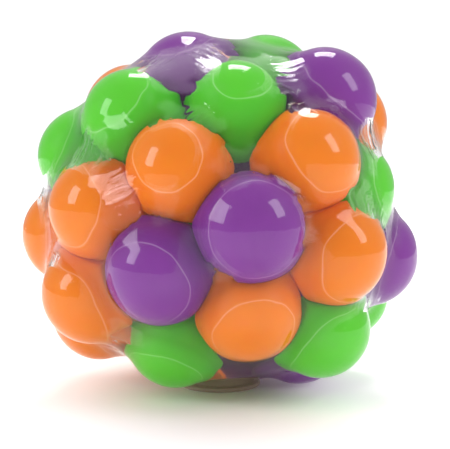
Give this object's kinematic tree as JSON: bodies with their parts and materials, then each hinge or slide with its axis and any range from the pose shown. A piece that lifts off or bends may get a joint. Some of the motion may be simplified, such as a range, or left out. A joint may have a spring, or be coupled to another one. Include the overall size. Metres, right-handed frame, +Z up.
{
  "type": "stress ball",
  "caption": "Hand-sized squeeze toy: soft green, orange and purple balls packed tightly in a clear stretchy rubber skin closed by a plug underneath.",
  "frame": {"origin": "Middle of the part's plan on the floor plane, at the height of the plug's flat foot.", "axes": "+Z up, out of the floor; +X to the right and -Y towards the viewer, who sees the side with a large purple ball in front."},
  "size_m": [0.0738, 0.0712, 0.0664],
  "materials": {
    "skin_clear": "glossy",
    "plug_clear": "satin",
    "green": "glossy",
    "orange": "glossy",
    "purple": "glossy"
  },
  "bodies": {
    "shell": {"clear_skin": "skin_clear", "filling_plug": "plug_clear"},
    "purple_ball_1": {"purple_ball_1": "purple"},
    "purple_ball_2": {"purple_ball_2": "purple"},
    "purple_ball_3": {"purple_ball_3": "purple"},
    "purple_ball_4": {"purple_ball_4": "purple"},
    "purple_ball_5": {"purple_ball_5": "purple"},
    "purple_ball_6": {"purple_ball_6": "purple"},
    "purple_ball_7": {"purple_ball_7": "purple"},
    "purple_ball_8": {"purple_ball_8": "purple"},
    "purple_ball_9": {"purple_ball_9": "purple"},
    "purple_ball_10": {"purple_ball_10": "purple"},
    "purple_ball_11": {"purple_ball_11": "purple"},
    "green_ball_1": {"green_ball_1": "green"},
    "green_ball_2": {"green_ball_2": "green"},
    "green_ball_3": {"green_ball_3": "green"},
    "green_ball_4": {"green_ball_4": "green"},
    "green_ball_5": {"green_ball_5": "green"},
    "green_ball_6": {"green_ball_6": "green"},
    "green_ball_7": {"green_ball_7": "green"},
    "green_ball_8": {"green_ball_8": "green"},
    "green_ball_9": {"green_ball_9": "green"},
    "green_ball_10": {"green_ball_10": "green"},
    "green_ball_11": {"green_ball_11": "green"},
    "green_ball_12": {"green_ball_12": "green"},
    "green_ball_13": {"green_ball_13": "green"},
    "orange_ball_1": {"orange_ball_1": "orange"},
    "orange_ball_2": {"orange_ball_2": "orange"},
    "orange_ball_3": {"orange_ball_3": "orange"},
    "orange_ball_4": {"orange_ball_4": "orange"},
    "orange_ball_5": {"orange_ball_5": "orange"},
    "orange_ball_6": {"orange_ball_6": "orange"},
    "orange_ball_7": {"orange_ball_7": "orange"},
    "orange_ball_8": {"orange_ball_8": "orange"},
    "orange_ball_9": {"orange_ball_9": "orange"},
    "orange_ball_10": {"orange_ball_10": "orange"},
    "orange_ball_11": {"orange_ball_11": "orange"},
    "orange_ball_12": {"orange_ball_12": "orange"},
    "orange_ball_13": {"orange_ball_13": "orange"},
    "orange_ball_14": {"orange_ball_14": "orange"},
    "orange_ball_15": {"orange_ball_15": "orange"}
  },
  "joints": [
    {"name": "squeeze", "type": "slide", "parent": "shell", "child": "purple_ball_1", "axis": [0, 0, -1], "range_m": [0, 0.014], "stiffness_N_per_m": 400, "springref_m": -0.004, "deforming": ["clear_skin", "purple_ball_1", "purple_ball_2", "purple_ball_3", "purple_ball_4", "purple_ball_5", "purple_ball_6", "purple_ball_7", "purple_ball_8", "purple_ball_9", "purple_ball_10", "purple_ball_11", "green_ball_1", "green_ball_2", "green_ball_3", "green_ball_4", "green_ball_5", "green_ball_6", "green_ball_7", "green_ball_8", "green_ball_9", "green_ball_10", "green_ball_11", "green_ball_12", "green_ball_13", "orange_ball_1", "orange_ball_2", "orange_ball_3", "orange_ball_4", "orange_ball_5", "orange_ball_6", "orange_ball_7", "orange_ball_8", "orange_ball_9", "orange_ball_10", "orange_ball_11", "orange_ball_12", "orange_ball_13", "orange_ball_14", "orange_ball_15"]},
    {"name": "squeeze_purple_ball_2", "type": "slide", "parent": "shell", "child": "purple_ball_2", "axis": [0, 0, -1], "range_m": [0, 0.0133]},
    {"name": "squeeze_purple_ball_3", "type": "slide", "parent": "shell", "child": "purple_ball_3", "axis": [0, 0, -1], "range_m": [0, 0.00817]},
    {"name": "squeeze_purple_ball_4", "type": "slide", "parent": "shell", "child": "purple_ball_4", "axis": [0, 0, -1], "range_m": [0, 0.00627]},
    {"name": "squeeze_purple_ball_5", "type": "slide", "parent": "shell", "child": "purple_ball_5", "axis": [0, 0, -1], "range_m": [0, 0.00611]},
    {"name": "squeeze_purple_ball_6", "type": "slide", "parent": "shell", "child": "purple_ball_6", "axis": [0, 0, -1], "range_m": [0, 0.00234]},
    {"name": "squeeze_purple_ball_7", "type": "slide", "parent": "shell", "child": "purple_ball_7", "axis": [0, 0, -1], "range_m": [0, 0.00349]},
    {"name": "squeeze_purple_ball_8", "type": "slide", "parent": "shell", "child": "purple_ball_8", "axis": [0, 0, -1], "range_m": [0, 0.00708]},
    {"name": "squeeze_purple_ball_9", "type": "slide", "parent": "shell", "child": "purple_ball_9", "axis": [0, 0, -1], "range_m": [0, 0.00932]},
    {"name": "squeeze_purple_ball_10", "type": "slide", "parent": "shell", "child": "purple_ball_10", "axis": [0, 0, -1], "range_m": [0, 0.00978]},
    {"name": "squeeze_purple_ball_11", "type": "slide", "parent": "shell", "child": "purple_ball_11", "axis": [0, 0, -1], "range_m": [0, 0.00868]},
    {"name": "squeeze_green_ball_1", "type": "slide", "parent": "shell", "child": "green_ball_1", "axis": [0, 0, -1], "range_m": [0, 0.0141]},
    {"name": "squeeze_green_ball_2", "type": "slide", "parent": "shell", "child": "green_ball_2", "axis": [0, 0, -1], "range_m": [0, 0.01248]},
    {"name": "squeeze_green_ball_3", "type": "slide", "parent": "shell", "child": "green_ball_3", "axis": [0, 0, -1], "range_m": [0, 0.01075]},
    {"name": "squeeze_green_ball_4", "type": "slide", "parent": "shell", "child": "green_ball_4", "axis": [0, 0, -1], "range_m": [0, 0.01286]},
    {"name": "squeeze_green_ball_5", "type": "slide", "parent": "shell", "child": "green_ball_5", "axis": [0, 0, -1], "range_m": [0, 0.00936]},
    {"name": "squeeze_green_ball_6", "type": "slide", "parent": "shell", "child": "green_ball_6", "axis": [0, 0, -1], "range_m": [0, 0.00267]},
    {"name": "squeeze_green_ball_7", "type": "slide", "parent": "shell", "child": "green_ball_7", "axis": [0, 0, -1], "range_m": [0, 0.00333]},
    {"name": "squeeze_green_ball_8", "type": "slide", "parent": "shell", "child": "green_ball_8", "axis": [0, 0, -1], "range_m": [0, 0.00379]},
    {"name": "squeeze_green_ball_9", "type": "slide", "parent": "shell", "child": "green_ball_9", "axis": [0, 0, -1], "range_m": [0, 0.00861]},
    {"name": "squeeze_green_ball_10", "type": "slide", "parent": "shell", "child": "green_ball_10", "axis": [0, 0, -1], "range_m": [0, 0.01124]},
    {"name": "squeeze_green_ball_11", "type": "slide", "parent": "shell", "child": "green_ball_11", "axis": [0, 0, -1], "range_m": [0, 0.01138]},
    {"name": "squeeze_green_ball_12", "type": "slide", "parent": "shell", "child": "green_ball_12", "axis": [0, 0, -1], "range_m": [0, 0.00768]},
    {"name": "squeeze_green_ball_13", "type": "slide", "parent": "shell", "child": "green_ball_13", "axis": [0, 0, -1], "range_m": [0, 0.0079]},
    {"name": "squeeze_orange_ball_1", "type": "slide", "parent": "shell", "child": "orange_ball_1", "axis": [0, 0, -1], "range_m": [0, 0.0122]},
    {"name": "squeeze_orange_ball_2", "type": "slide", "parent": "shell", "child": "orange_ball_2", "axis": [0, 0, -1], "range_m": [0, 0.01043]},
    {"name": "squeeze_orange_ball_3", "type": "slide", "parent": "shell", "child": "orange_ball_3", "axis": [0, 0, -1], "range_m": [0, 0.01078]},
    {"name": "squeeze_orange_ball_4", "type": "slide", "parent": "shell", "child": "orange_ball_4", "axis": [0, 0, -1], "range_m": [0, 0.00866]},
    {"name": "squeeze_orange_ball_5", "type": "slide", "parent": "shell", "child": "orange_ball_5", "axis": [0, 0, -1], "range_m": [0, 0.00709]},
    {"name": "squeeze_orange_ball_6", "type": "slide", "parent": "shell", "child": "orange_ball_6", "axis": [0, 0, -1], "range_m": [0, 0.00688]},
    {"name": "squeeze_orange_ball_7", "type": "slide", "parent": "shell", "child": "orange_ball_7", "axis": [0, 0, -1], "range_m": [0, 0.00485]},
    {"name": "squeeze_orange_ball_8", "type": "slide", "parent": "shell", "child": "orange_ball_8", "axis": [0, 0, -1], "range_m": [0, 0.00336]},
    {"name": "squeeze_orange_ball_9", "type": "slide", "parent": "shell", "child": "orange_ball_9", "axis": [0, 0, -1], "range_m": [0, 0.00453]},
    {"name": "squeeze_orange_ball_10", "type": "slide", "parent": "shell", "child": "orange_ball_10", "axis": [0, 0, -1], "range_m": [0, 0.01356]},
    {"name": "squeeze_orange_ball_11", "type": "slide", "parent": "shell", "child": "orange_ball_11", "axis": [0, 0, -1], "range_m": [0, 0.01265]},
    {"name": "squeeze_orange_ball_12", "type": "slide", "parent": "shell", "child": "orange_ball_12", "axis": [0, 0, -1], "range_m": [0, 0.00598]},
    {"name": "squeeze_orange_ball_13", "type": "slide", "parent": "shell", "child": "orange_ball_13", "axis": [0, 0, -1], "range_m": [0, 0.00351]},
    {"name": "squeeze_orange_ball_14", "type": "slide", "parent": "shell", "child": "orange_ball_14", "axis": [0, 0, -1], "range_m": [0, 0.00542]},
    {"name": "squeeze_orange_ball_15", "type": "slide", "parent": "shell", "child": "orange_ball_15", "axis": [0, 0, -1], "range_m": [0, 0.00752]}
  ],
  "couplings": [
    {"joint": "squeeze_purple_ball_2", "follows": "squeeze", "ratio": 0.9462},
    {"joint": "squeeze_purple_ball_3", "follows": "squeeze", "ratio": 0.5798},
    {"joint": "squeeze_purple_ball_4", "follows": "squeeze", "ratio": 0.4446},
    {"joint": "squeeze_purple_ball_5", "follows": "squeeze", "ratio": 0.4326},
    {"joint": "squeeze_purple_ball_6", "follows": "squeeze", "ratio": 0.1638},
    {"joint": "squeeze_purple_ball_7", "follows": "squeeze", "ratio": 0.246},
    {"joint": "squeeze_purple_ball_8", "follows": "squeeze", "ratio": 0.5024},
    {"joint": "squeeze_purple_ball_9", "follows": "squeeze", "ratio": 0.6618},
    {"joint": "squeeze_purple_ball_10", "follows": "squeeze", "ratio": 0.6951},
    {"joint": "squeeze_purple_ball_11", "follows": "squeeze", "ratio": 0.6166},
    {"joint": "squeeze_green_ball_1", "follows": "squeeze", "ratio": 1.0036},
    {"joint": "squeeze_green_ball_2", "follows": "squeeze", "ratio": 0.8882},
    {"joint": "squeeze_green_ball_3", "follows": "squeeze", "ratio": 0.7643},
    {"joint": "squeeze_green_ball_4", "follows": "squeeze", "ratio": 0.9152},
    {"joint": "squeeze_green_ball_5", "follows": "squeeze", "ratio": 0.6649},
    {"joint": "squeeze_green_ball_6", "follows": "squeeze", "ratio": 0.1873},
    {"joint": "squeeze_green_ball_7", "follows": "squeeze", "ratio": 0.2344},
    {"joint": "squeeze_green_ball_8", "follows": "squeeze", "ratio": 0.267},
    {"joint": "squeeze_green_ball_9", "follows": "squeeze", "ratio": 0.6112},
    {"joint": "squeeze_green_ball_10", "follows": "squeeze", "ratio": 0.7996},
    {"joint": "squeeze_green_ball_11", "follows": "squeeze", "ratio": 0.8094},
    {"joint": "squeeze_green_ball_12", "follows": "squeeze", "ratio": 0.545},
    {"joint": "squeeze_green_ball_13", "follows": "squeeze", "ratio": 0.561},
    {"joint": "squeeze_orange_ball_1", "follows": "squeeze", "ratio": 0.8679},
    {"joint": "squeeze_orange_ball_2", "follows": "squeeze", "ratio": 0.7417},
    {"joint": "squeeze_orange_ball_3", "follows": "squeeze", "ratio": 0.7663},
    {"joint": "squeeze_orange_ball_4", "follows": "squeeze", "ratio": 0.6151},
    {"joint": "squeeze_orange_ball_5", "follows": "squeeze", "ratio": 0.5031},
    {"joint": "squeeze_orange_ball_6", "follows": "squeeze", "ratio": 0.4875},
    {"joint": "squeeze_orange_ball_7", "follows": "squeeze", "ratio": 0.3428},
    {"joint": "squeeze_orange_ball_8", "follows": "squeeze", "ratio": 0.2362},
    {"joint": "squeeze_orange_ball_9", "follows": "squeeze", "ratio": 0.3197},
    {"joint": "squeeze_orange_ball_10", "follows": "squeeze", "ratio": 0.9652},
    {"joint": "squeeze_orange_ball_11", "follows": "squeeze", "ratio": 0.9002},
    {"joint": "squeeze_orange_ball_12", "follows": "squeeze", "ratio": 0.4234},
    {"joint": "squeeze_orange_ball_13", "follows": "squeeze", "ratio": 0.2472},
    {"joint": "squeeze_orange_ball_14", "follows": "squeeze", "ratio": 0.3839},
    {"joint": "squeeze_orange_ball_15", "follows": "squeeze", "ratio": 0.5339}
  ]
}
